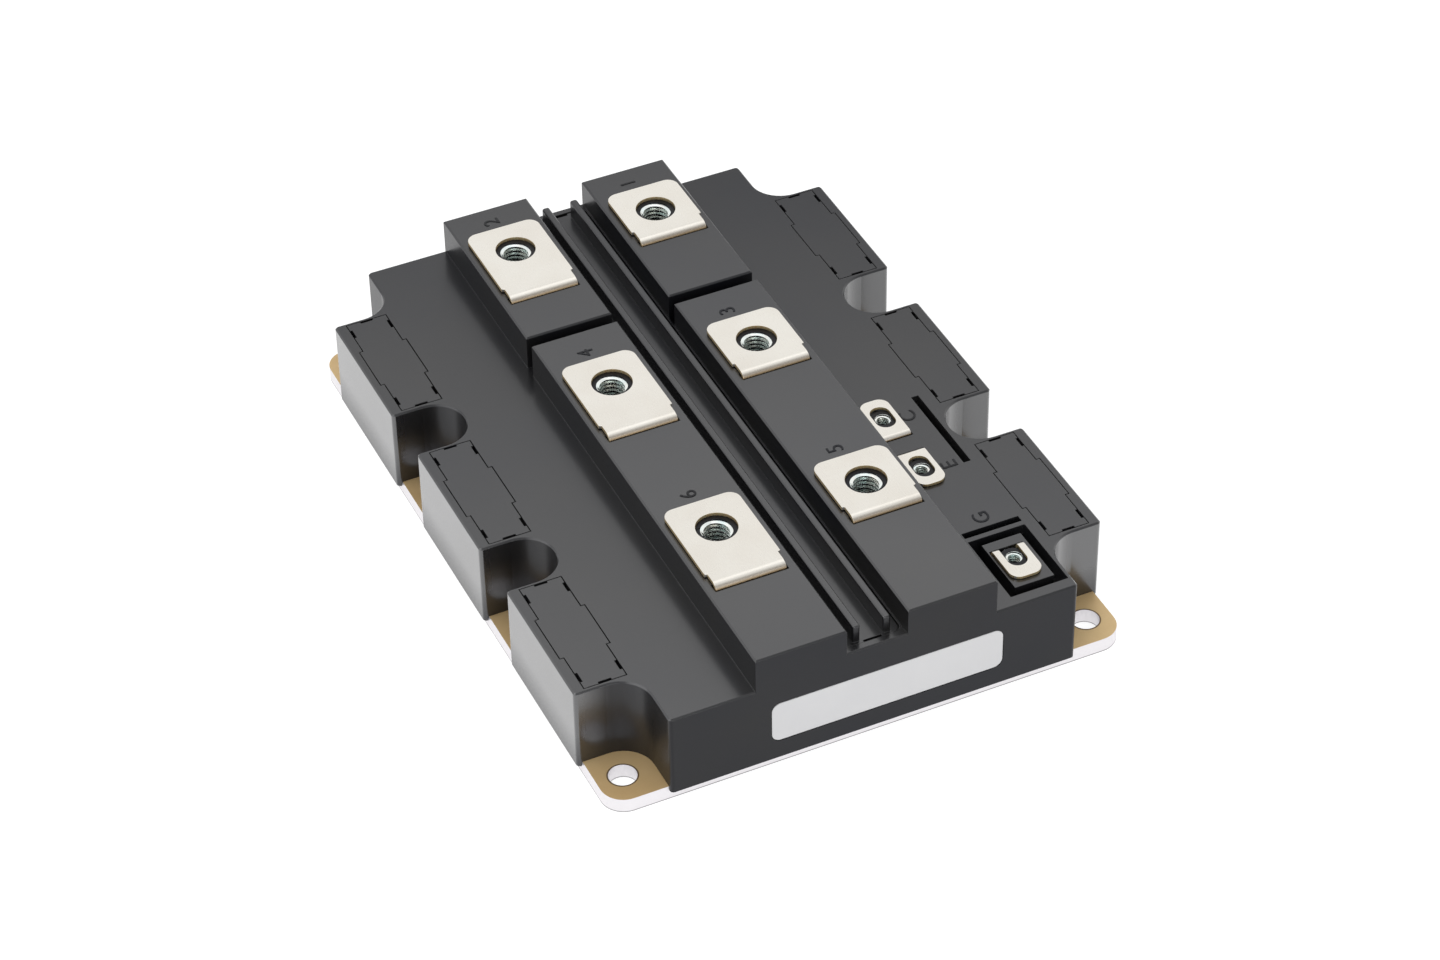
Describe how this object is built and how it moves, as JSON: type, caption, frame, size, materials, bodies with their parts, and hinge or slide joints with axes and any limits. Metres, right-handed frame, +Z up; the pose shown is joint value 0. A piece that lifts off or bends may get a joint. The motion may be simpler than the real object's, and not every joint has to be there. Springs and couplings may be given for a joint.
{
  "type": "igbt module",
  "caption": "Flat power transistor module: dark moulded housing on a metal base plate, raised rows of screw terminals, a finned channel between them and side notches for fixing screws.",
  "frame": {"origin": "middle of the underside of the base plate", "axes": "+X along the module towards the labelled end, +Y across it towards the auxiliary terminals, +Z up away from the heatsink"},
  "size_m": [0.19, 0.14, 0.037],
  "materials": {
    "nickel_plate": "satin",
    "housing_plastic": "matt",
    "terminal_nickel": "satin",
    "steel_nut": "bright",
    "ceramic": "smooth",
    "silicon": "smooth",
    "label_film": "matt"
  },
  "bodies": {
    "root": {"base_plate": "nickel_plate", "housing": "housing_plastic", "side_cover_1": "housing_plastic", "side_cover_2": "housing_plastic", "side_cover_3": "housing_plastic", "side_cover_4": "housing_plastic", "side_cover_5": "housing_plastic", "side_cover_6": "housing_plastic", "channel_cover": "housing_plastic", "main_terminal_1": "terminal_nickel", "main_nut_1": "steel_nut", "main_terminal_2": "terminal_nickel", "main_nut_2": "steel_nut", "main_terminal_3": "terminal_nickel", "main_nut_3": "steel_nut", "main_terminal_4": "terminal_nickel", "main_nut_4": "steel_nut", "main_terminal_5": "terminal_nickel", "main_nut_5": "steel_nut", "main_terminal_6": "terminal_nickel", "main_nut_6": "steel_nut", "collector_sense_terminal": "terminal_nickel", "collector_sense_nut": "steel_nut", "emitter_sense_terminal": "terminal_nickel", "emitter_sense_nut": "steel_nut", "gate_terminal": "terminal_nickel", "gate_nut": "steel_nut", "substrate_1": "ceramic", "substrate_2": "ceramic", "substrate_3": "ceramic", "substrate_4": "ceramic", "substrate_5": "ceramic", "substrate_6": "ceramic", "igbt_chips": "silicon", "diode_chips": "silicon", "label": "label_film"}
  },
  "joints": []
}
